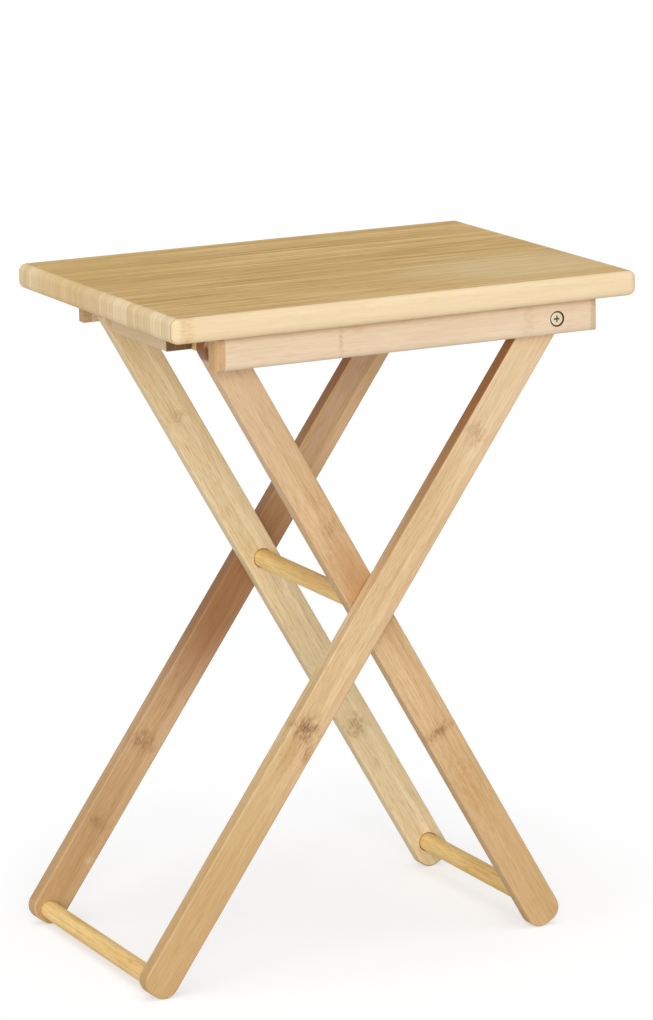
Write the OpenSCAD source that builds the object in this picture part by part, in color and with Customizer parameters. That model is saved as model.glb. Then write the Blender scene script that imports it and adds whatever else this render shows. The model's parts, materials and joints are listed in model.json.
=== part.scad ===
// Folding bamboo side table: a slab top on an X frame.
// The outer frame hangs on two bolts in the rails, and the inner frame turns on a dowel.
// +Z is up, +X runs along the long edge and the pivot bolts are at the +X end.
// The origin is on the floor, in the middle of the whole table.

/* [Table] */
// Length of the slab top
top_l = 500; // [480:5:540]
// Depth of the slab top, front to back
top_d = 375; // [350:5:420]
// Thickness of the slab top
top_t = 25; // [22:0.5:28]
// Radius of the slab's rounded edges and corners
top_edge_r = 8; // [4:0.5:10]
// Height of the table's top face above the floor
table_h = 674; // [660:1:690]

/* [Rails and batten] */
// Thickness of a rail
rail_t = 19; // [17:0.5:21]
// Height of a rail
rail_h = 35; // [33:0.5:38]
// Distance from the slab's long edge to the rail's outer face
rail_setback = 21.5; // [16:0.5:26]
// Distance from the slab's left edge to the rails' left ends
rail_left = 54.5; // [46:0.5:58]
// Distance from the slab's right edge to the rails' right ends
rail_right = 32; // [30:0.5:45]
// Radius of the rails' rounded outer corners
rail_corner_r = 9.5; // [4:0.5:12]
// Length of the stop batten, front to back
batten_l = 131; // [100:1:180]
// Width of the stop batten
batten_w = 27; // [20:0.5:27]
// Height of the stop batten
batten_h = 29.5; // [22:0.5:31]
// Distance from the slab's left edge to the batten
batten_left = 48; // [40:0.5:48]

/* [Legs] */
// Width of a leg's broad face
leg_w = 36.5; // [35:0.5:37]
// Thickness of a leg
leg_t = 17; // [15:0.5:18]
// Radius of the rounded corners at the legs' ends
leg_end_r = 15; // [14.5:0.5:16]
// Slope of the inner legs from the floor
inner_slope = 60.7; // [59:0.1:62]
// Gap between a leg and the rail or leg beside it
side_gap = 1; // [0.8:0.1:2]
// Distance from the slab's left edge to the middle pivot
mid_x = 229.5; // [225:0.5:234]
// Height of the middle pivot above the floor
mid_z = 358; // [352:1:362]
// Distance from the slab's left edge to the top pivots
top_pivot_x = 421.2; // [418:0.1:424]
// Drop from the slab's underside to the top pivots
top_pivot_drop = 18.7; // [18.7:0.1:20]
// Distance from the top pivots to the outer legs' top ends
top_pivot_up = 15.5; // [15:0.1:15.6]

/* [Dowels] */
// Diameter of the mid dowel and the two foot dowels
dowel_d = 19; // [16:0.5:19]
// Diameter of the hidden dowel that bears on the batten
bearing_dowel_d = 16; // [12:0.5:16]
// Depth of the blind holes that the dowels are glued into
socket_depth = 10; // [8:0.5:12]
// Distance from an outer leg's foot to its dowel's axis
outer_dowel_up = 13.5; // [13:0.5:16]
// Distance from an inner leg's foot to its dowel's axis
inner_dowel_up = 27.5; // [20:0.5:34]

/* [Bolts] */
// Diameter of the pivot bolt's shank
bolt_d = 6; // [5:0.5:6]
// Diameter of the pivot bolt's head
bolt_head_d = 12.8; // [11:0.1:13]
// Diameter of the counterbore that the bolt's head sits in
counterbore_d = 15.2; // [13.2:0.1:16]
// Diameter of the sleeve nut's barrel
sleeve_d = 9; // [8.5:0.5:10]

/* [Hidden] */

$fn = 96;
cut = 1;             // how far a cutting shape runs past a face
running_gap = 0.05;  // radial gap of a pin in the bore that it turns in
glue_gap = 0.05;     // radial gap of a dowel in the hole that it is glued in
rest_gap = 0.3;      // gap between the inner legs' tops and the slab
end_gap = 0.5;       // room left past the end of a pin or dowel in its blind hole
hole_chamfer = 0.7;  // chamfer at the mouths of the inner legs' pivot bores

// Heights
under_z = table_h - top_t;
top_pivot_z = under_z - top_pivot_drop;

// Layers from the front, as distances from the middle plane
rail_outer_y = top_d / 2 - rail_setback;
rail_inner_y = rail_outer_y - rail_t;
outer_leg_y = rail_inner_y - side_gap;
outer_leg_in_y = outer_leg_y - leg_t;
inner_leg_y = outer_leg_in_y - side_gap;
inner_leg_in_y = inner_leg_y - leg_t;

// Outer legs: their axis runs from the middle pivot through the top pivot
pivot_dx = top_pivot_x - mid_x;
pivot_dz = top_pivot_z - mid_z;
outer_slope = atan2(pivot_dz, pivot_dx);
pivot_span = norm([pivot_dx, pivot_dz]);
end_flat = leg_w / 2 - leg_end_r;  // half of the straight stretch at a leg's end
outer_up = pivot_span + top_pivot_up;

// A foot reaches the floor where its lower rounded corner does
function foot_length(slope) = leg_end_r + (mid_z - leg_end_r - end_flat * cos(slope)) / sin(slope);
outer_down = foot_length(outer_slope);
inner_down = foot_length(inner_slope);

// The inner legs' tops stop just under the slab
inner_up = leg_end_r
    + (under_z - rest_gap - leg_end_r - mid_z - end_flat * cos(inner_slope)) / sin(inner_slope);

// The whole table reaches from the outer feet to the slab's right edge
foot_x = mid_x - (outer_down - leg_end_r) * cos(outer_slope)
    - end_flat * sin(outer_slope) - leg_end_r;
origin_x = (foot_x + top_l) / 2;

// The bearing dowel lies against the batten, a little off the inner legs' axis
bearing_gap = 0.5;
bearing_drop = 25;      // from the slab's underside to the dowel's axis
bearing_x = batten_left + batten_w + bearing_gap + bearing_dowel_d / 2;
bearing_z = under_z - bearing_drop;
bearing_dx = mid_x - bearing_x;
bearing_dz = bearing_z - mid_z;
bearing_along = bearing_dx * cos(inner_slope) + bearing_dz * sin(inner_slope);
bearing_across = bearing_dz * cos(inner_slope) - bearing_dx * sin(inner_slope);

// Rail pins
pin_d = 8;
pin_in_slab = 13;
pin_in_rail = 17;
pins_per_rail = 4;
pin_first_in = 30;      // from the rail's left end to the first pin
pin_last_in = 20;       // from the last pin to the rail's right end
pin_first_x = rail_left + pin_first_in;
pin_last_x = top_l - rail_right - pin_last_in;

// Batten screws
screw_d = 4;
screw_head_d = 8;
screw_head_t = 2.4;
screw_in_slab = 14;
screw_pocket_d = 9.5;
screw_pocket_depth = 12;
screw_y = 42;
screw_slot_w = 1.2;

// Pivot hardware
head_t = 2.6;
head_recess = 0.5;      // how far the bolt's head lies below the rail's face
head_seat_gap = 0.25;   // gap between the back of the head and the counterbore's floor
cross_l = 6.4;
cross_w = 1.6;
cross_depth = 1.5;
flange_d = 14;
flange_t = 1.8;
flange_pocket_d = 15;
flange_pocket_depth = 2.2;
barrel_in_rail = 10;
thread_gap = 0.05;
bolt_end_gap = 4;       // from the bolt's tip to the closed end of the sleeve nut
washer_d = 16;
washer_t = 0.7;

head_face_y = rail_outer_y - head_recess;
head_back_y = head_face_y - head_t;
barrel_y = rail_inner_y + barrel_in_rail;
flange_face_y = outer_leg_in_y + (flange_pocket_depth - flange_t) / 2;

bamboo_slab = [0.86, 0.75, 0.55];
bamboo_strip = [0.85, 0.72, 0.52];
bamboo_rail = [0.90, 0.79, 0.65];
bamboo_dowel = [0.82, 0.67, 0.41];
beech = [0.80, 0.66, 0.48];
brass = [0.88, 0.80, 0.60];
zinc = [0.72, 0.73, 0.74];

// Moves a shape from slab-edge distances to the table's own origin
module placed() {
    translate([-origin_x, 0, 0]) children();
}

// Front pieces are drawn with y as the distance from the middle plane
module at_front() {
    mirror([0, 1, 0]) placed() children();
}

module at_rear() {
    placed() children();
}

// A cylinder along Y from y0 to y1, on the axis through x and z
module y_rod(x, z, r, y0, y1) {
    translate([x, y1, z]) rotate([90, 0, 0]) cylinder(r = r, h = y1 - y0);
}

// A box with every edge and corner rounded
module rounded_box(size, r) {
    inner = [size.x - 2 * r, size.y - 2 * r, size.z - 2 * r];
    translate([0, r, r]) cube([size.x, inner.y, inner.z]);
    translate([r, 0, r]) cube([inner.x, size.y, inner.z]);
    translate([r, r, 0]) cube([inner.x, inner.y, size.z]);
    for (y = [r, size.y - r], z = [r, size.z - r])
        translate([r, y, z]) rotate([0, 90, 0]) cylinder(r = r, h = inner.x);
    for (x = [r, size.x - r], z = [r, size.z - r])
        translate([x, r, z]) rotate([-90, 0, 0]) cylinder(r = r, h = inner.y);
    for (x = [r, size.x - r], y = [r, size.y - r]) {
        translate([x, y, r]) cylinder(r = r, h = inner.z);
        for (z = [r, size.z - r]) translate([x, y, z]) sphere(r = r);
    }
}

// Positions of a rail's pins along the table
function pin_x(i) = pin_first_x + i * (pin_last_x - pin_first_x) / (pins_per_rail - 1);
rail_mid_y = (rail_outer_y + rail_inner_y) / 2;

module rail_pin_shapes(r, down, up) {
    for (side = [-1, 1], i = [0 : pins_per_rail - 1])
        translate([pin_x(i), side * rail_mid_y, under_z - down]) cylinder(r = r, h = down + up);
}

module batten_screw_places() {
    for (side = [-1, 1])
        translate([batten_left + batten_w / 2, side * screw_y, under_z - batten_h]) children();
}

module tabletop() {
    color(bamboo_slab) placed() difference() {
        translate([0, -top_d / 2, under_z]) rounded_box([top_l, top_d, top_t], top_edge_r);
        rail_pin_shapes(pin_d / 2 + glue_gap, cut, pin_in_slab + end_gap);
        batten_screw_places()
            translate([0, 0, batten_h - cut])
                cylinder(d = screw_d + 2 * glue_gap, h = screw_in_slab + end_gap + cut);
    }
}

// Outline of a rail from above, with its outer corners rounded
module rail_outline() {
    length = top_l - rail_left - rail_right;
    r = rail_corner_r;
    translate([rail_left, rail_inner_y]) {
        square([length, rail_t - r]);
        translate([r, 0]) square([length - 2 * r, rail_t]);
        for (x = [r, length - r]) translate([x, rail_t - r]) circle(r = r);
    }
}

module rail() {
    difference() {
        translate([0, 0, under_z - rail_h]) linear_extrude(rail_h) rail_outline();
        rail_pin_shapes(pin_d / 2 + glue_gap, pin_in_rail + end_gap, cut);
        y_rod(top_pivot_x, top_pivot_z, bolt_d / 2 + running_gap, rail_inner_y - cut, rail_outer_y);
        y_rod(top_pivot_x, top_pivot_z, sleeve_d / 2 + running_gap,
            rail_inner_y - cut, barrel_y + end_gap);
        y_rod(top_pivot_x, top_pivot_z, counterbore_d / 2,
            head_back_y - head_seat_gap, rail_outer_y + cut);
    }
}

module rail_front() {
    color(bamboo_rail) at_front() rail();
}

module rail_rear() {
    color(bamboo_rail) at_rear() rail();
}

module stop_batten() {
    color(bamboo_strip) placed() difference() {
        translate([batten_left, -batten_l / 2, under_z - batten_h])
            cube([batten_w, batten_l, batten_h]);
        batten_screw_places() {
            translate([0, 0, -cut]) cylinder(d = screw_pocket_d, h = screw_pocket_depth + cut);
            cylinder(d = screw_d + 2 * glue_gap, h = batten_h + cut);
        }
    }
}

module rail_pins() {
    color(beech) placed() rail_pin_shapes(pin_d / 2, pin_in_rail, pin_in_slab);
}

module batten_screws() {
    head_z = screw_pocket_depth - screw_head_t;
    color(zinc) placed() batten_screw_places() difference() {
        union() {
            translate([0, 0, head_z]) cylinder(d = screw_head_d, h = screw_head_t);
            translate([0, 0, head_z]) cylinder(d = screw_d, h = batten_h - head_z + screw_in_slab);
        }
        for (turn = [0, 90]) rotate(turn)
            translate([-screw_head_d / 4, -screw_slot_w / 2, head_z - cut])
                cube([screw_head_d / 2, screw_slot_w, cut + screw_slot_w]);
    }
}

// A leg lying along X: down and up are its lengths either side of the middle pivot
module leg_blank(down, up) {
    r = leg_end_r;
    linear_extrude(leg_t) {
        translate([-down, -end_flat]) square([down + up, 2 * end_flat]);
        translate([r - down, -leg_w / 2]) square([down + up - 2 * r, leg_w]);
        for (x = [r - down, up - r], y = [-end_flat, end_flat]) translate([x, y]) circle(r = r);
    }
}

// Stands a leg up at its slope, with its outer face at y
module leg_stand(slope, y) {
    translate([mid_x, y, mid_z]) rotate([0, -slope, 0]) rotate([90, 0, 0]) children();
}

// Blind hole in a leg's inner face, at a place along and across the leg
module dowel_socket(along, across, d) {
    translate([along, across, leg_t - socket_depth])
        cylinder(r = d / 2 + glue_gap, h = socket_depth + cut);
}

module outer_leg() {
    leg_stand(outer_slope, outer_leg_y) difference() {
        leg_blank(outer_down, outer_up);
        dowel_socket(0, 0, dowel_d);
        dowel_socket(outer_dowel_up - outer_down, 0, dowel_d);
        translate([pivot_span, 0, -cut])
            cylinder(r = sleeve_d / 2 + running_gap, h = leg_t + 2 * cut);
        translate([pivot_span, 0, leg_t - flange_pocket_depth])
            cylinder(d = flange_pocket_d, h = flange_pocket_depth + cut);
    }
}

module outer_leg_front() {
    color(bamboo_strip) at_front() outer_leg();
}

module outer_leg_rear() {
    color(bamboo_strip) at_rear() outer_leg();
}

// A bore through a leg, with a chamfer at both mouths
module pivot_bore(r) {
    translate([0, 0, -cut]) cylinder(r = r, h = leg_t + 2 * cut);
    translate([0, 0, -cut])
        cylinder(r1 = r + hole_chamfer + cut, r2 = r, h = hole_chamfer + cut);
    translate([0, 0, leg_t - hole_chamfer])
        cylinder(r1 = r, r2 = r + hole_chamfer + cut, h = hole_chamfer + cut);
}

module inner_leg() {
    leg_stand(180 - inner_slope, inner_leg_y) difference() {
        leg_blank(inner_down, inner_up);
        pivot_bore(dowel_d / 2 + running_gap);
        dowel_socket(inner_dowel_up - inner_down, 0, dowel_d);
        dowel_socket(bearing_along, -bearing_across, bearing_dowel_d);
    }
}

module inner_leg_front() {
    color(bamboo_strip) at_front() inner_leg();
}

module inner_leg_rear() {
    color(bamboo_strip) at_rear() inner_leg();
}

// A dowel across the table, glued into sockets in the two legs whose inner faces are at y
module cross_dowel(x, z, d, y) {
    reach = y + socket_depth - end_gap;
    color(bamboo_dowel) placed() y_rod(x, z, d / 2, -reach, reach);
}

module mid_pivot_dowel() {
    cross_dowel(mid_x, mid_z, dowel_d, outer_leg_in_y);
}

module outer_foot_dowel() {
    along = outer_down - outer_dowel_up;
    cross_dowel(mid_x - along * cos(outer_slope), mid_z - along * sin(outer_slope),
        dowel_d, outer_leg_in_y);
}

module inner_foot_dowel() {
    along = inner_down - inner_dowel_up;
    cross_dowel(mid_x + along * cos(inner_slope), mid_z - along * sin(inner_slope),
        dowel_d, inner_leg_in_y);
}

module inner_bearing_dowel() {
    cross_dowel(bearing_x, bearing_z, bearing_dowel_d, inner_leg_in_y);
}

// Cap-head bolt with a cross recess
module pivot_bolt() {
    tip_y = flange_face_y + flange_t + bolt_end_gap;
    color(brass) difference() {
        union() {
            y_rod(top_pivot_x, top_pivot_z, bolt_head_d / 2, head_back_y, head_face_y);
            y_rod(top_pivot_x, top_pivot_z, bolt_d / 2, tip_y, head_face_y - head_t / 2);
        }
        for (turn = [0, 90])
            translate([top_pivot_x, head_face_y - cross_depth, top_pivot_z]) rotate([0, turn, 0])
                translate([-cross_l / 2, 0, -cross_w / 2])
                    cube([cross_l, cross_depth + cut, cross_w]);
    }
}

module pivot_bolt_front() {
    at_front() pivot_bolt();
}

module pivot_bolt_rear() {
    at_rear() pivot_bolt();
}

// Flanged barrel that the leg turns on, with a blind thread for the bolt
module sleeve_nut() {
    color(zinc) difference() {
        union() {
            y_rod(top_pivot_x, top_pivot_z, flange_d / 2, flange_face_y, flange_face_y + flange_t);
            y_rod(top_pivot_x, top_pivot_z, sleeve_d / 2, flange_face_y, barrel_y);
        }
        y_rod(top_pivot_x, top_pivot_z, bolt_d / 2 + thread_gap,
            flange_face_y + flange_t, barrel_y + cut);
    }
}

module sleeve_nut_front() {
    at_front() sleeve_nut();
}

module sleeve_nut_rear() {
    at_rear() sleeve_nut();
}

// Thin washer in the gap between the rail and the outer leg
module pivot_washer() {
    washer_y = outer_leg_y + (side_gap - washer_t) / 2;
    color(zinc) difference() {
        y_rod(top_pivot_x, top_pivot_z, washer_d / 2, washer_y, washer_y + washer_t);
        y_rod(top_pivot_x, top_pivot_z, sleeve_d / 2 + running_gap,
            washer_y - cut, washer_y + washer_t + cut);
    }
}

module pivot_washer_front() {
    at_front() pivot_washer();
}

module pivot_washer_rear() {
    at_rear() pivot_washer();
}

tabletop();
rail_front();
rail_rear();
stop_batten();
rail_pins();
batten_screws();
outer_leg_front();
outer_leg_rear();
outer_foot_dowel();
mid_pivot_dowel();
inner_leg_front();
inner_leg_rear();
inner_foot_dowel();
inner_bearing_dowel();
pivot_bolt_front();
pivot_bolt_rear();
sleeve_nut_front();
sleeve_nut_rear();
pivot_washer_front();
pivot_washer_rear();
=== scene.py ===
import json
from math import atan2, cos, pi, radians, sin

import bmesh
import bpy
from mathutils import Matrix, Quaternion, Vector


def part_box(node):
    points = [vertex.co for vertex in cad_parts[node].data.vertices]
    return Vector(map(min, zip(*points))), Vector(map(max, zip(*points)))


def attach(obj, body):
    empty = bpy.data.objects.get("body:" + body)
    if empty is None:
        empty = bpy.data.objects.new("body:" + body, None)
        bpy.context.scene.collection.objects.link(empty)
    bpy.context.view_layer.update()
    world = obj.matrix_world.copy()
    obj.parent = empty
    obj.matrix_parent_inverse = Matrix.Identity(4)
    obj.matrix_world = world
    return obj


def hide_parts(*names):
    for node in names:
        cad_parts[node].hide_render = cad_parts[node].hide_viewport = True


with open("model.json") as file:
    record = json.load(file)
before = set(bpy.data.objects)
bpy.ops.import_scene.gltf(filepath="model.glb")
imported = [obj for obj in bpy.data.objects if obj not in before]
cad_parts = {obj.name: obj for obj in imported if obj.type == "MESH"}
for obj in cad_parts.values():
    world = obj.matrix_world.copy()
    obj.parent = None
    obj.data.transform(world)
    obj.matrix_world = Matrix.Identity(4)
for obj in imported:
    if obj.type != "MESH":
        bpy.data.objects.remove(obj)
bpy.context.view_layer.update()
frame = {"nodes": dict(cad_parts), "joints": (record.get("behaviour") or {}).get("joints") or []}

# ---- Studio ----
# A long lens stands in front of the table and a little to its left, and looks slightly down.
# The floor is plain and pale, and glows a little where the camera sees it, as white as the world.
# One broad light stands in front, and two weaker ones fill in from the left and from above.
scene = bpy.context.scene
scene.view_settings.view_transform = "Standard"

camera = bpy.data.objects.new("camera", bpy.data.cameras.new("camera"))
camera.data.lens = 163.6
camera.data.clip_end = 100
camera.location = (-1.9916, -4.0513, 1.4487)
gaze = Vector((0.43249, 0.87430, -0.22035)).to_track_quat("-Z", "Y")
camera.rotation_euler = (gaze @ Quaternion((0, 0, 1), radians(-1.13))).to_euler()
scene.collection.objects.link(camera)
scene.camera = camera


def add_node(tree, kind, values={}, **settings):
    """Adds a shader node, sets it up and fills or links its inputs."""
    made = tree.nodes.new("ShaderNode" + kind)
    for name, value in settings.items():
        setattr(made, name, value)
    for name, value in values.items():
        if isinstance(value, bpy.types.NodeSocket):
            tree.links.new(value, made.inputs[name])
        else:
            made.inputs[name].default_value = value
    return made


world = bpy.data.worlds.new("studio")
world.use_nodes = True
world.node_tree.nodes["Background"].inputs["Color"].default_value = (1, 1, 1, 1)
world.node_tree.nodes["Background"].inputs["Strength"].default_value = 0.46
scene.world = world

for name, power, spread, towards in (
    ("front_light", 1.75, 34, (0.36, 0.89, -0.26)),
    ("left_light", 0.55, 50, (0.96, 0.20, -0.16)),
    ("top_light", 0.75, 50, (0.05, 0.15, -1.0)),
):
    light = bpy.data.lights.new(name, "SUN")
    light.energy = power
    light.angle = radians(spread)
    lamp = bpy.data.objects.new(name, light)
    lamp.rotation_euler = Vector(towards).to_track_quat("-Z", "Y").to_euler()
    scene.collection.objects.link(lamp)

floor_paint = bpy.data.materials.new("pale_floor")
floor_paint.use_nodes = True
paint = floor_paint.node_tree.nodes["Principled BSDF"]
seen = add_node(floor_paint.node_tree, "LightPath").outputs["Is Camera Ray"]
tint = add_node(
    floor_paint.node_tree,
    "Mix",
    {0: seen, 6: (0.76, 0.75, 0.73, 1), 7: (0.57, 0.575, 0.585, 1)},
    data_type="RGBA",
).outputs[2]
floor_paint.node_tree.links.new(tint, paint.inputs["Base Color"])
floor_paint.node_tree.links.new(seen, paint.inputs["Emission Strength"])
paint.inputs["Emission Color"].default_value = (0.53, 0.53, 0.53, 1)
paint.inputs["Roughness"].default_value = 0.9
paint.inputs["Specular IOR Level"].default_value = 0.1
sheet = bmesh.new()
bmesh.ops.create_grid(sheet, x_segments=1, y_segments=1, size=30)
floor_mesh = bpy.data.meshes.new("floor")
sheet.to_mesh(floor_mesh)
sheet.free()
floor_mesh.materials.append(floor_paint)
floor = bpy.data.objects.new("floor", floor_mesh)
scene.collection.objects.link(floor)

# ---- Slab top ----
# One thick panel glued up from narrow bamboo strips on edge, which run along the table.
# All its edges and corners are rounded over and sanded, and a paler strip closes each long edge.
# It is pinned and glued to the two rails below it.


def calc(tree, operation, *terms, **settings):
    return add_node(
        tree, "Math", dict(enumerate(terms)), operation=operation, **settings
    ).outputs[0]


def calc_vector(tree, operation, *terms):
    return add_node(tree, "VectorMath", dict(enumerate(terms)), operation=operation).outputs[0]


def distance(tree, vector):
    return add_node(tree, "VectorMath", {0: vector}, operation="LENGTH").outputs["Value"]


def sway(tree, value, amount, base, **settings):
    """Goes from base up or down by amount times how far value lies from one half."""
    from_half = calc(tree, "SUBTRACT", value, 0.5)
    return calc(tree, "MULTIPLY_ADD", from_half, amount, base, **settings)


def fade(tree, value, start, end, low=0.0, high=1.0):
    """Goes smoothly from low to high as value goes from start to end."""
    return add_node(
        tree,
        "MapRange",
        {"Value": value, "From Min": start, "From Max": end, "To Min": low, "To Max": high},
        interpolation_type="SMOOTHSTEP",
    ).outputs[0]


def mix_colour(tree, share, first, second, blend="MIX"):
    return add_node(
        tree, "Mix", {0: share, 6: first, 7: second}, data_type="RGBA", blend_type=blend
    ).outputs[2]


def noise(tree, place, stretch, detail, roughness=0.55):
    """Noise with so many patches a metre along each of the three directions."""
    scaled = calc_vector(tree, "MULTIPLY", place, stretch)
    return add_node(
        tree, "TexNoise", {"Vector": scaled, "Scale": 1, "Detail": detail, "Roughness": roughness}
    ).outputs


def new_group(name, inputs, outputs):
    tree = bpy.data.node_groups.new(name, "ShaderNodeTree")
    for label, kind in inputs.items():
        tree.interface.new_socket(label, in_out="INPUT", socket_type="NodeSocket" + kind)
    for label, kind in outputs.items():
        tree.interface.new_socket(label, in_out="OUTPUT", socket_type="NodeSocket" + kind)
    given = tree.nodes.new("NodeGroupInput").outputs
    result = tree.nodes.new("NodeGroupOutput").inputs
    return tree, given, result


# Bamboo glued up from strips, with X along the strips, Y across them and Z through the layers
bamboo, given, result = new_group(
    "bamboo",
    {
        "Place": "Vector",
        "Facing": "Vector",
        "Pale": "Color",
        "Deep": "Color",
        "End Pale": "Color",
        "End Deep": "Color",
        "Strip Width": "Float",
        "Layer Height": "Float",
        "Seed": "Float",
        "Strip Contrast": "Float",
        "Streaks": "Float",
        "Fibres": "Float",
        "Veins": "Float",
        "Drift": "Float",
        "Joint Lines": "Float",
        "Knuckles": "Float",
    },
    {"Color": "Color", "Roughness": "Float", "Height": "Float"},
)
place = given["Place"]
axes = add_node(bamboo, "SeparateXYZ", {"Vector": place}).outputs
strip_place = calc(bamboo, "DIVIDE", axes["Y"], given["Strip Width"])
layer_place = calc(bamboo, "DIVIDE", axes["Z"], given["Layer Height"])
cell = add_node(
    bamboo,
    "CombineXYZ",
    {
        "X": calc(bamboo, "FLOOR", strip_place),
        "Y": calc(bamboo, "FLOOR", layer_place),
        "Z": given["Seed"],
    },
).outputs[0]
chance = add_node(bamboo, "TexWhiteNoise", {"Vector": cell}, noise_dimensions="3D").outputs
own_place = calc_vector(bamboo, "ADD", place, chance["Color"])
fibre = noise(bamboo, own_place, (22, 1100, 1100), 4, 0.65)[0]
dash = noise(bamboo, own_place, (60, 1100, 1100), 4, 0.65)[0]
streak = noise(bamboo, own_place, (8, 170, 170), 3)[0]
vein = noise(bamboo, own_place, (9, 480, 480), 2)[0]
broad = noise(bamboo, calc_vector(bamboo, "ADD", place, given["Seed"]), (7, 32, 32), 2)[0]
tone = sway(bamboo, chance["Value"], given["Strip Contrast"], 0.42)
tone = sway(bamboo, streak, given["Streaks"], tone)
tone = sway(bamboo, fibre, given["Fibres"], tone)
tone = sway(bamboo, broad, given["Drift"], tone, use_clamp=True)
side_colour = mix_colour(bamboo, tone, given["Pale"], given["Deep"])
veins = calc(bamboo, "MULTIPLY", fade(bamboo, vein, 0.56, 0.70), given["Veins"])
side_colour = mix_colour(bamboo, veins, side_colour, (0.62, 0.45, 0.27, 1), "MULTIPLY")
dashes = calc(bamboo, "MULTIPLY", fade(bamboo, dash, 0.46, 0.68), given["Fibres"])
side_colour = mix_colour(bamboo, dashes, side_colour, (0.76, 0.64, 0.50, 1), "MULTIPLY")
# Knuckles cross each strip at a place of its own
run = calc(bamboo, "MULTIPLY_ADD", chance["Value"], 7.0, calc(bamboo, "DIVIDE", axes["X"], 0.27))
ragged = noise(bamboo, own_place, (60, 500, 500), 2)[0]
run = calc(bamboo, "MULTIPLY_ADD", ragged, 0.02, run)
run = calc(bamboo, "FRACT", run)
from_knuckle = calc(bamboo, "ABSOLUTE", calc(bamboo, "SUBTRACT", run, 0.5))
knuckle = fade(bamboo, from_knuckle, 0.004, 0.022, 1, 0)
knuckle = calc(bamboo, "MULTIPLY", knuckle, given["Knuckles"])
knuckle = calc(bamboo, "MULTIPLY", knuckle, fade(bamboo, fibre, 0.35, 0.7, 0.4, 1.0))
side_colour = mix_colour(bamboo, knuckle, side_colour, (0.40, 0.22, 0.08, 1))
# Glue lines between strips
in_strip = calc(bamboo, "FRACT", strip_place)
joint = calc(bamboo, "ABSOLUTE", calc(bamboo, "SUBTRACT", in_strip, 0.5))
joint = calc(bamboo, "MULTIPLY", calc(bamboo, "SUBTRACT", 0.5, joint), given["Strip Width"])
joint = calc(bamboo, "MULTIPLY", fade(bamboo, joint, 0.0001, 0.0007, 1, 0), given["Joint Lines"])
side_colour = mix_colour(bamboo, joint, side_colour, (0.36, 0.22, 0.10, 1))
# Cut ends show the fibre bundles as fine dots, and the strips lie in bundles of four
bundle = calc(bamboo, "FLOOR", calc(bamboo, "MULTIPLY", strip_place, 0.25))
bundle_noise = add_node(bamboo, "TexWhiteNoise", {"W": bundle}, noise_dimensions="1D")
bundle_chance = bundle_noise.outputs["Value"]
dots = noise(bamboo, own_place, (90, 1500, 1500), 2)[0]
end_tone = sway(bamboo, chance["Value"], 0.5, 0.30)
end_tone = sway(bamboo, bundle_chance, 0.55, end_tone)
end_tone = calc(bamboo, "MULTIPLY_ADD", fade(bamboo, dots, 0.45, 0.65), 0.3, end_tone)
end_tone = sway(bamboo, broad, 0.6, end_tone, use_clamp=True)
end_colour = mix_colour(bamboo, end_tone, given["End Pale"], given["End Deep"])
end_joint = calc(bamboo, "MULTIPLY", joint, 1.6)
end_colour = mix_colour(bamboo, end_joint, end_colour, (0.40, 0.26, 0.13, 1))
facing = add_node(bamboo, "SeparateXYZ", {"Vector": given["Facing"]}).outputs
turned = calc(bamboo, "MULTIPLY_ADD", chance["Value"], 0.08, calc(bamboo, "ABSOLUTE", facing["X"]))
is_end = fade(bamboo, turned, 0.09, 0.17)
bamboo.links.new(mix_colour(bamboo, is_end, side_colour, end_colour), result["Color"])
gloss = calc(bamboo, "MULTIPLY_ADD", fibre, 0.16, 0.38)
bamboo.links.new(calc(bamboo, "MULTIPLY_ADD", is_end, 0.12, gloss), result["Roughness"])
relief = calc(bamboo, "SUBTRACT", fibre, calc(bamboo, "MULTIPLY", joint, 0.8))
bamboo.links.new(relief, result["Height"])

# A patch of another tone on a board: with Edge at 0 it is a ragged knuckle with whiskers, from 0.15
# on a smooth patch, and near 1 a plain lane with a crisp edge
patch, given, result = new_group(
    "patch",
    {
        "Color": "Color",
        "Place": "Vector",
        "Centre": "Vector",
        "Size": "Vector",
        "Tone": "Color",
        "Strength": "Float",
        "Edge": "Float",
    },
    {"Color": "Color"},
)
ragged = fade(patch, given["Edge"], 0.0, 0.15, 1, 0)
away = calc_vector(patch, "SUBTRACT", given["Place"], given["Centre"])
away = calc_vector(patch, "DIVIDE", away, given["Size"])
bend = noise(patch, given["Place"], (110, 190, 190), 3)[1]
bend = calc_vector(patch, "SUBTRACT", bend, (0.5, 0.5, 0.5))
flat_ragged = add_node(patch, "CombineXYZ", {"X": ragged, "Y": ragged}).outputs[0]
bend = calc_vector(patch, "MULTIPLY", bend, flat_ragged)
away = calc_vector(patch, "ADD", away, calc_vector(patch, "MULTIPLY", bend, (1.8, 1.8, 0)))
cover = fade(patch, distance(patch, away), given["Edge"], 1.0, 1, 0)
cover = calc(patch, "MULTIPLY", cover, given["Strength"])
whisker = fade(patch, noise(patch, given["Place"], (75, 950, 950), 3)[0], 0.44, 0.60)
cells = fade(patch, noise(patch, given["Place"], (230, 380, 380), 3)[0], 0.42, 0.60)
texture = calc(patch, "MULTIPLY_ADD", calc(patch, "MAXIMUM", whisker, cells), 0.8, 0.2)
texture = calc(patch, "MAXIMUM", texture, calc(patch, "SUBTRACT", 1.0, ragged))
cover = calc(patch, "MULTIPLY", cover, texture)
fine = fade(patch, noise(patch, given["Place"], (30, 900, 900), 3)[0], 0.40, 0.66, 0, 0.5)
tone = mix_colour(patch, fine, given["Tone"], (0.70, 0.56, 0.42, 1), "MULTIPLY")
patch.links.new(mix_colour(patch, cover, given["Color"], tone), result["Color"])


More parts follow.
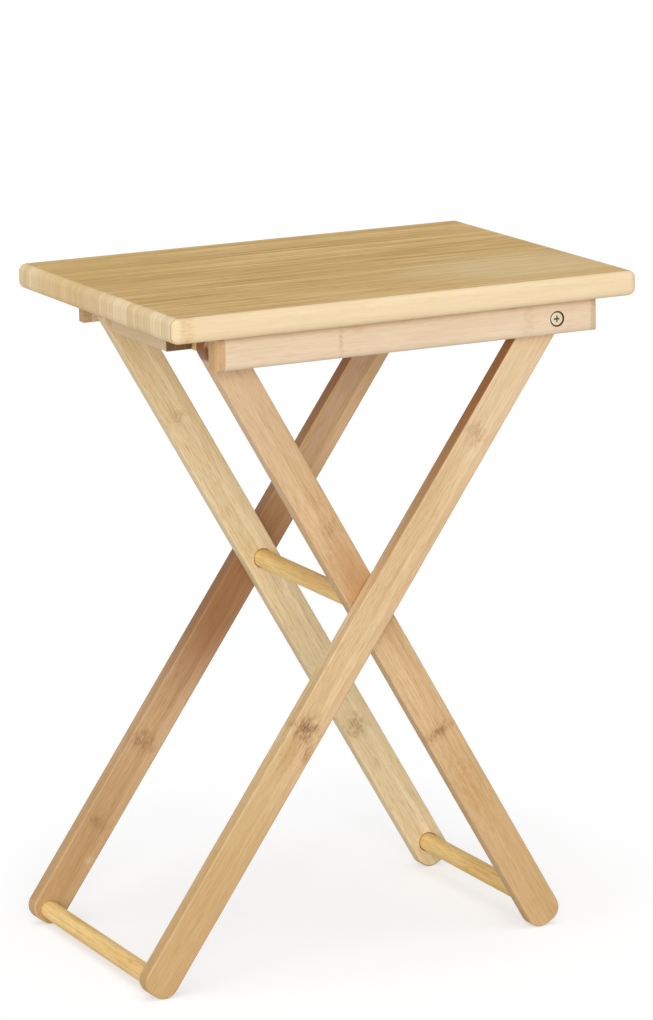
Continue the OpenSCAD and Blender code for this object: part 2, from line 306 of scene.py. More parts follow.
def add_patch(tree, colour, place, where, size, tone, strength, edge=0.0):
    """Paints a patch at (along, across) a board with its half sizes."""
    values = {
        "Color": colour,
        "Place": place,
        "Centre": (*where, 0.0),
        "Size": (*size, 1.0),
        "Tone": (*tone, 1.0),
        "Strength": strength,
        "Edge": edge,
    }
    return add_node(tree, "Group", values, node_tree=patch).outputs["Color"]


def bamboo_material(name, centre, turn, looks, patches=()):
    """Bamboo whose X runs along the piece, with patches of another tone on it."""
    material = bpy.data.materials.new(name)
    material.use_nodes = True
    tree = material.node_tree
    where = add_node(tree, "TexCoord").outputs
    place = add_node(
        tree,
        "Mapping",
        {"Vector": where["Object"], "Location": centre, "Rotation": turn},
        vector_type="TEXTURE",
    ).outputs[0]
    facing = add_node(
        tree, "Mapping", {"Vector": where["Normal"], "Rotation": turn}, vector_type="TEXTURE"
    ).outputs[0]
    boards = add_node(
        tree, "Group", {"Place": place, "Facing": facing, **looks}, node_tree=bamboo
    ).outputs
    colour = boards["Color"]
    for values in patches:
        colour = add_patch(tree, colour, place, *values)
    shader = tree.nodes["Principled BSDF"]
    tree.links.new(colour, shader.inputs["Base Color"])
    tree.links.new(boards["Roughness"], shader.inputs["Roughness"])
    relief = add_node(
        tree, "Bump", {"Height": boards["Height"], "Strength": 0.25, "Distance": 0.0004}
    ).outputs[0]
    tree.links.new(relief, shader.inputs["Normal"])
    shader.inputs["Specular IOR Level"].default_value = 0.35
    return material, tree, shader, place, facing


def make_piece(name, shape, material, body, slot, *nodes):
    bmesh.ops.recalc_face_normals(shape, faces=shape.faces)
    mesh = bpy.data.meshes.new(name)
    shape.to_mesh(mesh)
    shape.free()
    mesh.shade_smooth()
    mesh.set_sharp_from_angle(angle=radians(50))
    mesh.materials.append(material)
    piece = bpy.data.objects.new(name, mesh)
    scene.collection.objects.link(piece)
    even = piece.modifiers.new("even_shading", "WEIGHTED_NORMAL")
    even.keep_sharp = True
    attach(piece, body)
    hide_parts(*nodes)
    return piece


def round_edges(shape, edges, radius, segments):
    return bmesh.ops.bevel(
        shape,
        geom=edges,
        offset=radius,
        segments=segments,
        profile=0.5,
        affect="EDGES",
        material=-1,
        clamp_overlap=True,
    )


def sharp_edges(shape):
    return [edge for edge in shape.edges if edge.calc_face_angle(0) > radians(60)]


def make_box(low, high):
    shape = bmesh.new()
    bmesh.ops.create_cube(shape, size=1)
    bmesh.ops.scale(shape, vec=high - low, verts=shape.verts)
    bmesh.ops.translate(shape, vec=(low + high) / 2, verts=shape.verts)
    return shape


slab_low, slab_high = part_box("tabletop")
slab_corner = 0.0085
slab_roll = 0.0078
edge_strip = 0.0062  # width of the paler strip along each long edge

slab = make_box(slab_low, slab_high)
uprights = [edge for edge in slab.edges if abs(edge.verts[0].co.z - edge.verts[1].co.z) > 0.001]
round_edges(slab, uprights, slab_corner, 8)
round_edges(slab, sharp_edges(slab), slab_roll, 8)

slab_looks = {
    "Pale": (0.84, 0.60, 0.25, 1),
    "Deep": (0.53, 0.31, 0.085, 1),
    "End Pale": (0.87, 0.70, 0.45, 1),
    "End Deep": (0.68, 0.49, 0.26, 1),
    "Strip Width": 0.0066,
    "Layer Height": 0.06,
    "Seed": 3.0,
    "Strip Contrast": 0.5,
    "Streaks": 1.3,
    "Fibres": 0.5,
    "Veins": 0.9,
    "Drift": 0.6,
    "Joint Lines": 0.18,
    "Knuckles": 0.3,
}
edge_looks = {
    **slab_looks,
    "Pale": (0.85, 0.68, 0.45, 1),
    "Deep": (0.73, 0.55, 0.32, 1),
    "Strip Width": 0.05,
    "Seed": 8.0,
    "Streaks": 0.9,
    "Fibres": 0.2,
    "Veins": 0.1,
    "Joint Lines": 0.0,
    "Knuckles": 0.0,
}
slab_patches = (
    # Painted sheen: a paler, less saturated patch towards the right of the top
    ((0.41, 0.09), (0.17, 0.10), (0.84, 0.67, 0.37), 0.6, 0.2),
    ((0.05, 0.26), (0.16, 0.13), (0.66, 0.42, 0.12), 0.4, 0.2),
)
slab_material, tree, shader, place, facing = bamboo_material(
    "bamboo_slab", (slab_low.x, slab_low.y, slab_low.z), (0, 0, 0), slab_looks, slab_patches
)
edging = add_node(
    tree, "Group", {"Place": place, "Facing": facing, **edge_looks}, node_tree=bamboo
).outputs["Color"]
edge_patch = ((0.015, 0.0), (0.011, 0.03), (0.66, 0.42, 0.16), 0.5, 0.05)
edging = add_patch(tree, edging, place, *edge_patch)
depth = add_node(tree, "SeparateXYZ", {"Vector": place}).outputs["Y"]
slab_depth = slab_high.y - slab_low.y
from_middle = calc(tree, "ABSOLUTE", calc(tree, "SUBTRACT", depth, slab_depth / 2))
strip_start = slab_depth / 2 - edge_strip
in_edging = fade(tree, from_middle, strip_start - 0.0001, strip_start + 0.0001)
inner_colour = shader.inputs["Base Color"].links[0].from_socket
colour = mix_colour(tree, in_edging, inner_colour, edging)
glue = calc(tree, "ABSOLUTE", calc(tree, "SUBTRACT", from_middle, strip_start))
glue = fade(tree, glue, 0.0002, 0.0007, 0.6, 0)
colour = mix_colour(tree, glue, colour, (0.34, 0.22, 0.09, 1))
tree.links.new(colour, shader.inputs["Base Color"])
shader.inputs["Specular IOR Level"].default_value = 0.12

make_piece("slab_top", slab, slab_material, "table_top", "bamboo_panel", "tabletop")

# ---- Rails ----
# Two bamboo laths on edge under the long sides, pinned and glued to the slab.
# Their outer corners are rounded over, and a bolt sits in a counterbore near the right end of each.
sides = ((-1, "front"), (1, "rear"))
hole_sides = 48
pivot = Vector(next(joint["pos_m"] for joint in frame["joints"] if joint["name"] == "top_lift"))
bolt_low, bolt_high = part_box("pivot_bolt_rear")
barrel_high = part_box("sleeve_nut_rear")[1]


def make_board(start, end, width, thick, end_round, holes):
    """A board with X along it and one face at Z 0, with a disc on both faces for each hole."""
    shape = bmesh.new()
    bmesh.ops.create_grid(shape, x_segments=1, y_segments=1, size=0.5)
    bmesh.ops.scale(shape, vec=(end - start, width, 1), verts=shape.verts)
    bmesh.ops.translate(shape, vec=((start + end) / 2, 0, 0), verts=shape.verts)
    if end_round:
        bmesh.ops.bevel(
            shape,
            geom=shape.verts[:],
            offset=end_round,
            segments=10,
            profile=0.5,
            affect="VERTICES",
            material=-1,
        )
    bmesh.ops.delete(shape, geom=shape.faces[:], context="FACES_ONLY")
    rings = []
    for x, y, radius in holes:
        ring = bmesh.ops.create_circle(
            shape,
            cap_ends=False,
            segments=hole_sides,
            radius=radius,
            matrix=Matrix.Translation((x, y, 0)),
        )["verts"]
        rings.append({edge for vert in ring for edge in vert.link_edges})
    bmesh.ops.triangle_fill(shape, use_beauty=True, use_dissolve=False, edges=shape.edges[:])
    for ring in rings:
        bmesh.ops.edgeloop_fill(shape, edges=list(ring))
    bmesh.ops.recalc_face_normals(shape, faces=shape.faces)
    bmesh.ops.solidify(shape, geom=shape.faces[:], thickness=thick)
    lowest = min(vert.co.z for vert in shape.verts)
    bmesh.ops.translate(shape, vec=(0, 0, -lowest), verts=shape.verts)
    return shape


def find_disc(shape, x, y, z):
    """The marked-out disc nearest to a point."""
    discs = [face for face in shape.faces if len(face.verts) == hole_sides]
    return min(discs, key=lambda face: (face.calc_center_median() - Vector((x, y, z))).length)


def pick(kind, items):
    return [item for item in items if isinstance(item, kind)]


def push_faces(shape, faces, depth):
    """Moves faces by depth along Z, with walls behind them, and gives back what was moved."""
    moved = bmesh.ops.extrude_face_region(shape, geom=faces)["geom"]
    bmesh.ops.delete(shape, geom=faces, context="FACES_ONLY")
    bmesh.ops.translate(shape, vec=(0, 0, depth), verts=pick(bmesh.types.BMVert, moved))
    return moved


def sink_disc(shape, disc, depth):
    """Sinks a disc, and gives back the edges of its mouth and the face at its bottom."""
    mouth = list(disc.edges)
    moved = push_faces(shape, [disc], depth)
    return mouth, pick(bmesh.types.BMFace, moved)[0]


def join_discs(shape, first, second):
    """Drills through between two discs."""
    edges = list(first.edges) + list(second.edges)
    bmesh.ops.delete(shape, geom=[first, second], context="FACES_ONLY")
    bmesh.ops.bridge_loops(shape, edges=edges)


def ease_mouth(shape, mouth):
    round_edges(shape, [edge for edge in mouth if edge.is_valid], 0.0003, 2)


def shrink_disc(shape, disc, amount):
    bmesh.ops.inset_individual(shape, faces=[disc], thickness=amount, use_even_offset=True)
    return disc


def place_board(shape, corner, slope, side):
    """Stands a board up with its face towards the rear, and mirrors it for the front."""
    stand = Matrix.Rotation(-slope, 4, "Y") @ Matrix.Rotation(pi / 2, 4, "X")
    bmesh.ops.transform(shape, matrix=Matrix.Translation(corner) @ stand, verts=shape.verts)
    if side < 0:
        bmesh.ops.scale(shape, vec=(1, -1, 1), verts=shape.verts)


low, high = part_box("rail_rear")
half = (high - low) / 2
middle = (low + high) / 2
bolt_x = pivot.x - middle.x
bolt_y = pivot.z - middle.z
rail_length = high.x - low.x
rail_corner = 0.0095
rail_ease = 0.0011
counterbore = 0.0077
head_seat = 0.00335  # depth of the counterbore
sleeve_bore = 0.0046
shank_bore = 0.0031
barrel_depth = barrel_high.y - low.y + 0.0005
rail_looks = {
    "Pale": (0.84, 0.68, 0.49, 1),
    "Deep": (0.71, 0.53, 0.36, 1),
    "End Pale": (0.76, 0.54, 0.29, 1),
    "End Deep": (0.58, 0.37, 0.17, 1),
    "Strip Width": 0.05,
    "Layer Height": 0.0096,
    "Seed": 1.0,
    "Strip Contrast": 0.1,
    "Streaks": 0.7,
    "Fibres": 0.3,
    "Veins": 0.1,
    "Drift": 0.6,
    "Joint Lines": 0.0,
    "Knuckles": 0.0,
}
# Tones on each rail, the first two on its rounded ends and the others knuckles
rail_patches = {
    "front": (
        ((0.0, 0.0), (0.0093, 0.9), (0.60, 0.385, 0.185), 0.8, 0.9),
        ((rail_length, 0.0), (0.0098, 0.9), (0.66, 0.49, 0.30), 0.75, 0.9),
        ((0.131, 0.0), (0.0035, 0.03), (0.55, 0.34, 0.20), 0.6),
        ((0.1474, 0.010), (0.012, 0.007), (0.70, 0.48, 0.27), 0.5),
        ((0.1974, 0.013), (0.020, 0.004), (0.70, 0.48, 0.27), 0.4),
        ((0.336, 0.0), (0.011, 0.02), (0.66, 0.43, 0.24), 0.5),
        ((0.317, 0.013), (0.010, 0.005), (0.62, 0.40, 0.22), 0.5),
    ),
    "rear": (
        ((0.0, 0.0), (0.0093, 0.9), (0.60, 0.385, 0.185), 0.8, 0.9),
        ((rail_length, 0.0), (0.0098, 0.9), (0.60, 0.385, 0.185), 0.8, 0.9),
        ((0.090, 0.0), (0.003, 0.03), (0.56, 0.34, 0.19), 0.5),
        ((0.300, 0.0), (0.004, 0.03), (0.60, 0.38, 0.22), 0.5),
    ),
}

# The wall of a counterbore is painted near-black: painted shade in the recess
counterbore_shade, given, result = new_group(
    "counterbore_shade", {"Color": "Color", "Place": "Vector", "Centre": "Vector"}, {"Color": "Color"}
)
away = calc_vector(counterbore_shade, "SUBTRACT", given["Place"], given["Centre"])
away = distance(counterbore_shade, calc_vector(counterbore_shade, "MULTIPLY", away, (1, 1, 0)))
cover = fade(counterbore_shade, away, counterbore, counterbore + 0.0003, 0.92, 0)
colour = mix_colour(counterbore_shade, cover, given["Color"], (0.13, 0.065, 0.022, 1))
counterbore_shade.links.new(colour, result["Color"])

for side, end in sides:
    rail = make_board(-half.x, half.x, 2 * half.z, 2 * half.y, 0, [(bolt_x, bolt_y, counterbore)])
    corners = [
        edge
        for edge in rail.edges
        if edge.calc_face_angle(0) > radians(60)
        and all(vert.co.z < 0.001 and abs(abs(vert.co.x) - half.x) < 0.0001 for vert in edge.verts)
    ]
    round_edges(rail, corners, rail_corner, 10)
    round_edges(rail, sharp_edges(rail), rail_ease, 3)
    mouth, seat = sink_disc(rail, find_disc(rail, bolt_x, bolt_y, 0), head_seat)
    back = find_disc(rail, bolt_x, bolt_y, 2 * half.y)
    back = shrink_disc(rail, back, counterbore - sleeve_bore)
    bottom = sink_disc(rail, back, -barrel_depth)[1]
    join_discs(
        rail,
        shrink_disc(rail, seat, counterbore - shank_bore),
        shrink_disc(rail, bottom, sleeve_bore - shank_bore),
    )
    ease_mouth(rail, mouth)
    place_board(rail, (middle.x, high.y, middle.z), 0, side)
    material, tree, shader, place, facing = bamboo_material(
        "bamboo_rail_" + end,
        (low.x, side * middle.y, middle.z),
        (pi / 2, 0, 0),
        {**rail_looks, "Seed": 1.0 + side},
        rail_patches[end],
    )
    # Painted shade on the counterbore's wall around the bolt head
    values = {
        "Color": shader.inputs["Base Color"].links[0].from_socket,
        "Place": place,
        "Centre": (pivot.x - low.x, bolt_y, 0),
    }
    colour = add_node(tree, "Group", values, node_tree=counterbore_shade).outputs["Color"]
    tree.links.new(colour, shader.inputs["Base Color"])
    make_piece("rail_lath_" + end, rail, material, "table_top", "bamboo_rail", "rail_" + end)

# ---- Stop batten ----
# A short bamboo block screwed under the slab near its left end, between the inner legs.
# The dowel between the legs' tops bears against it while the table stands open.
batten_low, batten_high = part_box("stop_batten")
batten_half = (batten_high - batten_low) / 2
batten_ease = 0.001
screw_pocket = 0.00475
screw_depth = 0.012
screw_places = (-0.042, 0.042)
batten = make_board(
    -batten_half.y,
    batten_half.y,
    2 * batten_half.x,
    2 * batten_half.z,
    0,
    [(along, 0, screw_pocket) for along in screw_places],
)
round_edges(batten, sharp_edges(batten), batten_ease, 3)
for along in screw_places:
    sink_disc(batten, find_disc(batten, along, 0, 0), screw_depth)
bmesh.ops.rotate(batten, verts=batten.verts, matrix=Matrix.Rotation(pi / 2, 3, "Z"))
bmesh.ops.translate(
    batten,
    vec=(batten_low.x + batten_half.x, batten_low.y + batten_half.y, batten_low.z),
    verts=batten.verts,
)
batten_looks = {
    **rail_looks,
    "Pale": (0.88, 0.71, 0.46, 1),
    "Deep": (0.74, 0.55, 0.31, 1),
    # The cut ends are painted near-black: painted shade under the slab
    "End Pale": (0.22, 0.12, 0.05, 1),
    "End Deep": (0.13, 0.065, 0.025, 1),
    "Layer Height": 0.009,
    "Strip Width": 0.0098,
    "Strip Contrast": 0.4,
    "Joint Lines": 0.2,
    "Seed": 5.0,
}
batten_material = bamboo_material(
    "bamboo_batten",
    (batten_low.x, batten_low.y, batten_low.z),
    (0, 0, pi / 2),
    batten_looks,
)[0]
make_piece("stop_block", batten, batten_material, "table_top", "bamboo_strip", "stop_batten")

# ---- Outer legs ----
# Two flat bamboo laths with rounded ends, joined by the mid dowel and by a dowel at their feet.
# Each turns on a sleeve nut inside the rail, whose flange sits in a shallow pocket in the leg.
mid = Vector(next(joint["pos_m"] for joint in frame["joints"] if joint["name"] == "frame_fold"))
leg_width = 0.0365
leg_round = 0.015
leg_ease = 0.0019
leg_flat = leg_width / 2 - leg_round
socket_depth = 0.010
flange_pocket = 0.0075
flange_depth = 0.0022
outer_slope = atan2(pivot.z - mid.z, pivot.x - mid.x)


def leg_reach(height, slope):
    """How far along a leg its rounded end must lie to reach a height above the mid pivot."""
    return leg_round + (height - leg_round - leg_flat * cos(slope)) / sin(slope)


def on_leg(slope, x, z):
    """A place along and across a leg, counted from the mid pivot."""
    dx, dz = x - mid.x, z - mid.z
    return dx * cos(slope) + dz * sin(slope), dz * cos(slope) - dx * sin(slope)


def dowel_on_leg(slope, node):
    low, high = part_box(node)
    return on_leg(slope, (low.x + high.x) / 2, (low.z + high.z) / 2)


# Painted shade under the slab: the legs' narrow faces that look up to the left are darker, the more
# the higher they lie
painted_slab_shade, given, result = new_group(
    "painted_slab_shade", {"Color": "Color", "Place": "Vector", "Facing": "Vector"}, {"Color": "Color"}
)
upwards = add_node(
    painted_slab_shade, "VectorMath", {0: given["Facing"], 1: (-0.7, 0, 0.7)}, operation="DOT_PRODUCT"
).outputs["Value"]
height = add_node(painted_slab_shade, "SeparateXYZ", {"Vector": given["Place"]}).outputs["Z"]
cover = fade(painted_slab_shade, upwards, 0.45, 0.85, 0, 0.9)
cover = calc(painted_slab_shade, "MULTIPLY", cover, fade(painted_slab_shade, height, 0.33, 0.58))
colour = mix_colour(painted_slab_shade, cover, given["Color"], (0.29, 0.105, 0.026, 1))
painted_slab_shade.links.new(colour, result["Color"])


# Lays the painted shade under the slab over a leg's colour
def paint_slab_shade(tree, shader):
    where = add_node(tree, "TexCoord").outputs
    values = {
        "Color": shader.inputs["Base Color"].links[0].from_socket,
        "Place": where["Object"],
        "Facing": where["Normal"],
    }
    colour = add_node(tree, "Group", values, node_tree=painted_slab_shade).outputs["Color"]
    tree.links.new(colour, shader.inputs["Base Color"])


leg_looks = {
    "Pale": (0.80, 0.60, 0.36, 1),
    "Deep": (0.60, 0.41, 0.20, 1),
    "End Pale": (0.74, 0.52, 0.27, 1),
    "End Deep": (0.54, 0.34, 0.15, 1),
    "Strip Width": 0.026,
    "Layer Height": 0.03,
    "Seed": 2.0,
    "Strip Contrast": 0.5,
    "Streaks": 0.8,
    "Fibres": 0.85,
    "Veins": 0.35,
    "Drift": 0.8,
    "Joint Lines": 0.12,
    "Knuckles": 0.0,
}
outer_tones = {
    "front": {"Seed": 2.0},
    "rear": {"Pale": (0.66, 0.45, 0.25, 1), "Deep": (0.46, 0.28, 0.13, 1), "Seed": 9.0},
}
# Darker lanes, knuckles, stains, and painted light and shade on each leg, along and across it from
# the mid pivot
outer_patches = {
    "front": (
        ((0.0, -0.0140), (0.9, 0.0055), (0.64, 0.40, 0.23), 0.45, 0.8),
        # Painted shade: a broad patch darkens the leg towards its foot
        ((-0.40, 0.0), (0.36, 0.2), (0.54, 0.34, 0.13), 0.65, 0.15),
        ((-0.165, 0.003), (0.038, 0.015), (0.54, 0.31, 0.13), 0.6),
        ((-0.1345, 0.003), (0.021, 0.021), (0.40, 0.22, 0.10), 0.9),
        ((-0.1345, 0.002), (0.012, 0.016), (0.22, 0.10, 0.04), 0.8),
        ((-0.158, -0.0125), (0.018, 0.008), (0.38, 0.18, 0.07), 0.9),
        # Painted light: a broad patch makes the leg paler towards its top
        ((0.27, 0.0), (0.16, 0.2), (0.84, 0.66, 0.45), 0.42, 0.15),
        ((0.197, 0.003), (0.018, 0.021), (0.52, 0.31, 0.16), 0.7),
    ),
    "rear": (
        ((0.0, -0.0125), (0.9, 0.0070), (0.76, 0.54, 0.33), 0.55, 0.85),
        # Partly darker wood and partly painted shade by the crossing with the inner leg
        ((-0.03, 0.0), (0.19, 0.1), (0.27, 0.11, 0.035), 0.8, 0.2),
        ((0.20, 0.006), (0.12, 0.012), (0.56, 0.37, 0.25), 0.6, 0.5),
        # Painted shade: a broad patch darkens the leg towards its foot
        ((-0.40, 0.0), (0.30, 0.2), (0.48, 0.28, 0.11), 0.5, 0.15),
        ((-0.2228, 0.004), (0.017, 0.019), (0.32, 0.16, 0.07), 0.85),
        ((-0.3175, 0.003), (0.012, 0.014), (0.34, 0.18, 0.08), 0.7),
        ((-0.3552, -0.0105), (0.007, 0.007), (0.86, 0.66, 0.42), 0.5),
    ),
}
low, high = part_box("outer_leg_rear")
thick = high.y - low.y
foot = -leg_reach(mid.z - low.z, outer_slope)
tip = leg_reach(high.z - mid.z, outer_slope)
pivot_x, pivot_y = on_leg(outer_slope, pivot.x, pivot.z)
glued_sockets = [(0, 0, 0.0096), (*dowel_on_leg(outer_slope, "outer_foot_dowel"), 0.0097)]
holes = glued_sockets + [(pivot_x, pivot_y, flange_pocket)]
for side, end in sides:
    leg = make_board(foot, tip, leg_width, thick, leg_round, holes)
    round_edges(leg, sharp_edges(leg), leg_ease, 4)
    for x, y, _ in glued_sockets:
        ease_mouth(leg, sink_disc(leg, find_disc(leg, x, y, thick), -socket_depth)[0])
    bottom = sink_disc(leg, find_disc(leg, pivot_x, pivot_y, thick), -flange_depth)[1]
    join_discs(
        leg,
        shrink_disc(leg, bottom, flange_pocket - sleeve_bore),
        shrink_disc(leg, find_disc(leg, pivot_x, pivot_y, 0), flange_pocket - sleeve_bore),
    )
    place_board(leg, (mid.x, high.y, mid.z), outer_slope, side)
    material, tree, shader = bamboo_material(
        "bamboo_outer_leg_" + end,
        (mid.x, side * (low.y + high.y) / 2, mid.z),
        (pi / 2, -outer_slope, 0),
        {**leg_looks, **outer_tones[end]},
        outer_patches[end],
    )[:3]
    # Painted shade under the slab on the faces that look up to the left
    paint_slab_shade(tree, shader)
    make_piece(
        "outer_lath_" + end, leg, material, "outer_frame", "bamboo_strip", "outer_leg_" + end
    )

# ---- Inner legs ----
# Two laths like the outer ones. The mid dowel runs loosely through a bore in each.
# A dowel is glued between them near their feet and another at their tops, under the slab.
inner_slope = radians(180 - 60.7)
loose_bore = 0.0102
inner_tones = {
    "front": {"Pale": (0.74, 0.52, 0.30, 1), "Deep": (0.56, 0.36, 0.17, 1), "Seed": 4.0},
    "rear": {"Pale": (0.92, 0.76, 0.50, 1), "Deep": (0.74, 0.57, 0.31, 1), "Seed": 6.0},
}
# Lanes, knuckles, other tones, and painted light and shade on each leg, along and across it from
# the mid pivot
inner_patches = {
    "front": (
        # Painted shade: a broad patch darkens the leg towards its foot
        ((-0.40, 0.0), (0.34, 0.2), (0.54, 0.34, 0.14), 0.5, 0.15),
        ((0.020, 0.0), (0.090, 0.03), (0.50, 0.27, 0.11), 0.6, 0.15),
        ((0.035, 0.004), (0.070, 0.018), (0.50, 0.27, 0.11), 0.5),
        ((-0.225, 0.003), (0.070, 0.015), (0.54, 0.29, 0.12), 0.65),
        ((-0.156, 0.0), (0.010, 0.028), (0.30, 0.13, 0.05), 0.9),
        # Painted light: a broad patch makes the leg paler towards its top
        ((0.26, 0.0), (0.15, 0.2), (0.78, 0.58, 0.40), 0.3, 0.15),
        ((0.093, -0.004), (0.017, 0.017), (0.44, 0.26, 0.12), 0.75),
        # Painted shadow at the top end, beside the rail's end under the slab
        ((0.3174, 0.0170), (0.011, 0.0085), (0.26, 0.09, 0.03), 0.85, 0.5),
    ),
    "rear": (
        ((0.0, -0.0130), (0.9, 0.0050), (0.66, 0.50, 0.24), 0.35, 0.8),
        ((-0.219, 0.004), (0.020, 0.017), (0.50, 0.31, 0.13), 0.85),
        ((0.183, 0.004), (0.012, 0.020), (0.56, 0.36, 0.16), 0.6),
    ),
}
low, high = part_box("inner_leg_rear")
thick = high.y - low.y
foot = -leg_reach(mid.z - low.z, pi - inner_slope)
tip = leg_reach(high.z - mid.z, pi - inner_slope)
glued_sockets = [
    (*dowel_on_leg(inner_slope, "inner_foot_dowel"), loose_bore),
    (*dowel_on_leg(inner_slope, "inner_bearing_dowel"), 0.0081),
]
holes = [(0, 0, loose_bore)] + glued_sockets
for side, end in sides:
    leg = make_board(foot, tip, leg_width, thick, leg_round, holes)
    round_edges(leg, sharp_edges(leg), leg_ease, 4)
    for x, y, _ in glued_sockets:
        ease_mouth(leg, sink_disc(leg, find_disc(leg, x, y, thick), -socket_depth)[0])
    join_discs(leg, find_disc(leg, 0, 0, thick), find_disc(leg, 0, 0, 0))
    place_board(leg, (mid.x, high.y, mid.z), inner_slope, side)
    material, tree, shader = bamboo_material(
        "bamboo_inner_leg_" + end,
        (mid.x, side * (low.y + high.y) / 2, mid.z),
        (pi / 2, -inner_slope, 0),
        {**leg_looks, **inner_tones[end]},
        inner_patches[end],
    )[:3]
    # Painted shade under the slab on the faces that look up to the left
    paint_slab_shade(tree, shader)
    make_piece(
        "inner_lath_" + end, leg, material, "inner_frame", "bamboo_strip", "inner_leg_" + end
    )

# ---- Dowels ----
# Four turned bamboo rods across the table, with eased ends glued into blind holes in the legs.
# The mid one is glued into the outer legs, and the inner legs turn on it.
dowel_looks = {
    "Pale": (0.98, 0.74, 0.33, 1),
    "Deep": (0.76, 0.46, 0.14, 1),
    "End Pale": (0.70, 0.50, 0.24, 1),
    "End Deep": (0.50, 0.32, 0.14, 1),
    "Strip Width": 0.1,
    "Layer Height": 0.1,
    "Seed": 2.0,
    "Strip Contrast": 0.1,
    "Streaks": 1.3,
    "Fibres": 0.7,
    "Veins": 0.4,
    "Drift": 1.2,
    "Joint Lines": 0.0,
    "Knuckles": 0.0,
}
dowel_ease = 0.0008
for name, body, seed in (
    ("outer_foot_dowel", "outer_frame", 1.0),
    ("mid_pivot_dowel", "outer_frame", 2.0),
    ("inner_foot_dowel", "inner_frame", 3.0),
    ("inner_bearing_dowel", "inner_frame", 4.0),
):
    low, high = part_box(name)
    middle = (low + high) / 2
    radius = (high.z - low.z) / 2
    rod = bmesh.new()
    bmesh.ops.create_cone(
        rod,
        cap_ends=True,
        segments=64,
        radius1=radius,
        radius2=radius,
        depth=high.y - low.y,
        matrix=Matrix.Translation(middle) @ Matrix.Rotation(pi / 2, 4, "X"),
    )
    round_edges(rod, sharp_edges(rod), dowel_ease, 2)
    material = bamboo_material(
        "bamboo_" + name,
        (middle.x, low.y, middle.z),
        (0, 0, pi / 2),
        {**dowel_looks, "Seed": seed},
    )[0]
    make_piece(name.replace("dowel", "rod"), rod, material, body, "bamboo_dowel", name)

# ---- Pivot bolts ----
# A pale brass-plated bolt with a flat head and a cross recess, one through each rail.
# Its head sits in the counterbore, and it is screwed into the sleeve nut behind.
bolt_plating = bpy.data.materials.new("bolt_plating")
bolt_plating.use_nodes = True
tree = bolt_plating.node_tree
shader = tree.nodes["Principled BSDF"]
where = add_node(tree, "TexCoord").outputs["Object"]
from_axis = add_node(
    tree, "Mapping", {"Vector": where, "Location": (pivot.x, 0, pivot.z)}, vector_type="TEXTURE"
).outputs[0]
away = distance(tree, calc_vector(tree, "MULTIPLY", from_axis, (1, 0, 1)))
rings = noise(tree, add_node(tree, "CombineXYZ", {"X": away}).outputs[0], (4000, 1, 1), 2)[0]
scuffs = noise(tree, where, (600, 600, 600), 3)[0]
side_place = add_node(tree, "SeparateXYZ", {"Vector": where}).outputs["Y"]
side_place = calc(tree, "ABSOLUTE", side_place)
sunk = fade(tree, side_place, bolt_high.y - 0.0011, bolt_high.y - 0.0005, 1, 0)
brass = mix_colour(tree, scuffs, (1.0, 0.94, 0.77, 1), (0.90, 0.80, 0.57, 1))
colour = mix_colour(tree, sunk, brass, (0.16, 0.085, 0.03, 1))
tree.links.new(colour, shader.inputs["Base Color"])
tree.links.new(calc(tree, "MULTIPLY_ADD", scuffs, 0.2, 0.48), shader.inputs["Roughness"])
tree.links.new(calc(tree, "MULTIPLY_ADD", sunk, -0.9, 1.0), shader.inputs["Metallic"])
relief = add_node(
    tree, "Bump", {"Height": rings, "Strength": 0.15, "Distance": 0.0001}
).outputs[0]
tree.links.new(relief, shader.inputs["Normal"])

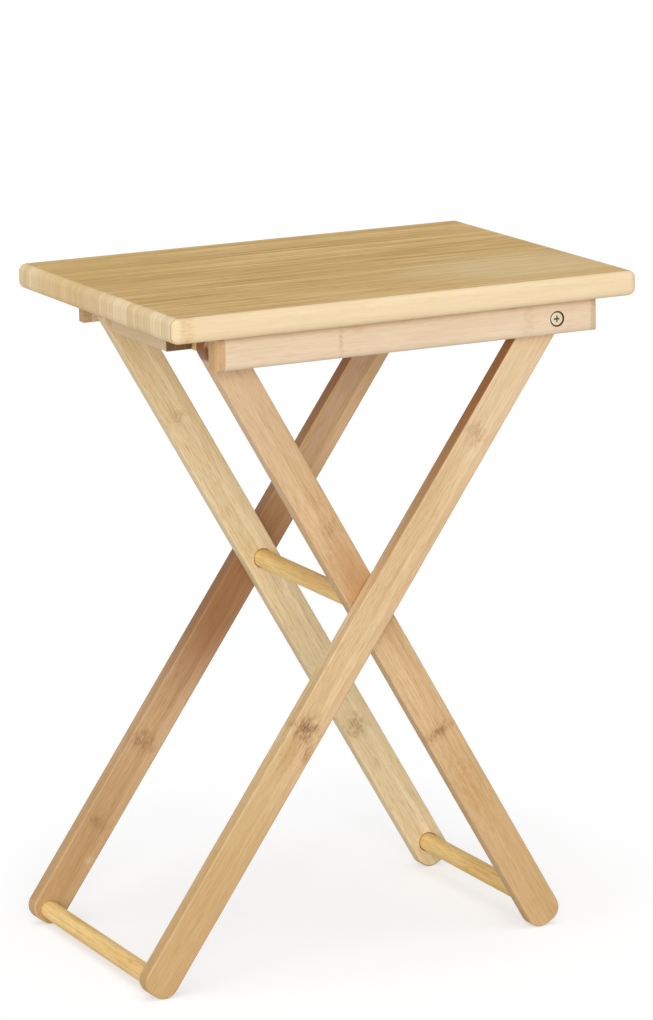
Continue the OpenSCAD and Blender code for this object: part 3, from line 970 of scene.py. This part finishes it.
cross_arm = 0.0036
cross_half = 0.0009
cross_depth = 0.0015
cross_taper = 0.75
head_radius = (bolt_high.z - bolt_low.z) / 2
head_thick = 0.0026
head_ease = 0.0005
shank_radius = 0.003
for side, end in sides:
    bolt = bmesh.new()
    bmesh.ops.create_grid(bolt, x_segments=1, y_segments=1, size=cross_arm)
    for normal in ((1, 0, 0), (0, 1, 0)):
        for offset in (-cross_half, cross_half):
            bmesh.ops.bisect_plane(
                bolt,
                geom=bolt.verts[:] + bolt.edges[:] + bolt.faces[:],
                plane_co=Vector(normal) * offset,
                plane_no=normal,
            )
    outside = [
        face
        for face in bolt.faces
        if min(abs(value) for value in face.calc_center_median().xy) > cross_half
    ]
    bmesh.ops.delete(bolt, geom=outside, context="FACES")
    cross = bolt.faces[:]
    cross_rim = [edge for edge in bolt.edges if edge.is_boundary]
    ring = bmesh.ops.create_circle(
        bolt, cap_ends=False, segments=hole_sides, radius=head_radius
    )["verts"]
    rim = list({edge for vert in ring for edge in vert.link_edges})
    bmesh.ops.triangle_fill(bolt, use_beauty=True, use_dissolve=False, edges=rim + cross_rim)
    sunk = pick(bmesh.types.BMVert, push_faces(bolt, cross, -cross_depth))
    bmesh.ops.scale(bolt, vec=(cross_taper, cross_taper, 1), verts=sunk)
    lower = bmesh.ops.extrude_edge_only(bolt, edges=rim)["geom"]
    bmesh.ops.translate(bolt, vec=(0, 0, -head_thick), verts=pick(bmesh.types.BMVert, lower))
    under = bmesh.ops.edgeloop_fill(bolt, edges=pick(bmesh.types.BMEdge, lower))["faces"][0]
    shrink_disc(bolt, under, head_radius - shank_radius)
    push_faces(bolt, [under], bolt_low.y - bolt_high.y + head_thick)
    round_edges(bolt, rim, head_ease, 3)
    stand = Matrix.Rotation(-pi / 2, 4, "X")
    stand = Matrix.Translation((pivot.x, bolt_high.y, pivot.z)) @ stand
    bmesh.ops.transform(bolt, matrix=stand, verts=bolt.verts)
    bmesh.ops.scale(bolt, vec=(1, side, 1), verts=bolt.verts)
    make_piece(
        "cross_bolt_" + end, bolt, bolt_plating, "top_pivots", "bolt_brass", "pivot_bolt_" + end
    )

# ---- Hidden fixings ----
# Zinc-plated sleeve nuts, washers and batten screws, and the beech pins between rails and slab.
# They keep the plain shapes of the frame and get their finishes here.
zinc = bpy.data.materials.new("zinc_plating")
zinc.use_nodes = True
tree = zinc.node_tree
shader = tree.nodes["Principled BSDF"]
where = add_node(tree, "TexCoord").outputs["Object"]
crystals = noise(tree, where, (900, 900, 900), 3)[0]
tree.links.new(
    mix_colour(tree, crystals, (0.62, 0.64, 0.66, 1), (0.44, 0.45, 0.46, 1)),
    shader.inputs["Base Color"],
)
tree.links.new(calc(tree, "MULTIPLY_ADD", crystals, 0.3, 0.22), shader.inputs["Roughness"])
shader.inputs["Metallic"].default_value = 1.0

beech = bpy.data.materials.new("beech_pin")
beech.use_nodes = True
tree = beech.node_tree
shader = tree.nodes["Principled BSDF"]
where = add_node(tree, "TexCoord").outputs["Object"]
flecks = noise(tree, where, (1500, 1500, 120), 3)[0]
tree.links.new(
    mix_colour(tree, flecks, (0.66, 0.46, 0.28, 1), (0.48, 0.31, 0.17, 1)),
    shader.inputs["Base Color"],
)
tree.links.new(calc(tree, "MULTIPLY_ADD", flecks, 0.2, 0.5), shader.inputs["Roughness"])

for name in (
    "sleeve_nut_front",
    "sleeve_nut_rear",
    "pivot_washer_front",
    "pivot_washer_rear",
    "batten_screws",
):
    frame["nodes"][name].material_slots[0].material = zinc
frame["nodes"]["rail_pins"].material_slots[0].material = beech
